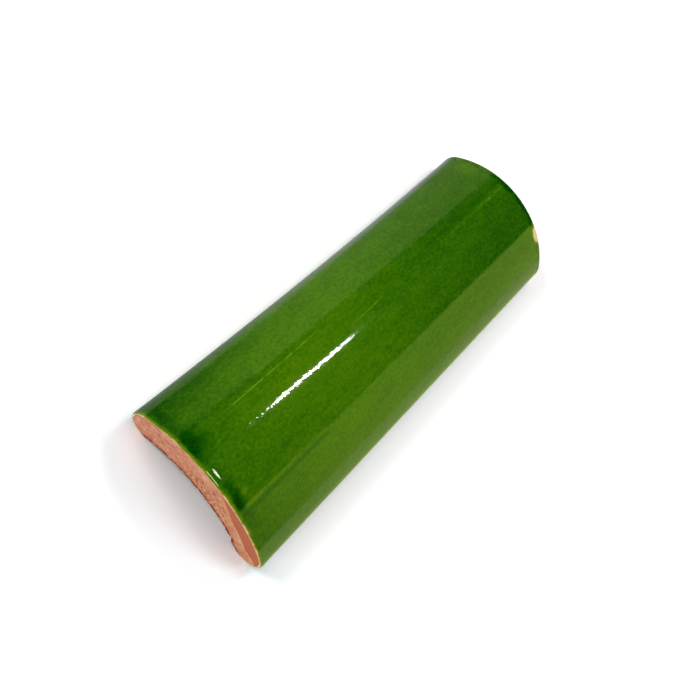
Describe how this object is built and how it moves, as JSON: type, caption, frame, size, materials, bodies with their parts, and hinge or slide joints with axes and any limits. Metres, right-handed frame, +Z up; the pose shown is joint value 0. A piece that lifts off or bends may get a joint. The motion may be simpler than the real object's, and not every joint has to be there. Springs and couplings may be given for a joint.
{
  "type": "pencil trim tile",
  "caption": "Arched strip of fired clay with a glossy green glaze on its rounded face, two narrow feet under its long edges and bare cut ends.",
  "frame": {"origin": "bottom centre of the bounding box, on the surface that the two feet rest on", "axes": "+X along the strip, towards the end that lies further away in the picture; +Y across it, towards the long edge that is slightly bowed in; +Z up, out of the rounded glazed face"},
  "size_m": [0.15, 0.0498, 0.02],
  "materials": {
    "green_glaze": "glossy translucent green glaze over a pale slip on the rounded face; bare orange-pink clay on the ends and underside"
  },
  "bodies": {
    "root": {"trim_tile": "green_glaze"}
  },
  "joints": []
}
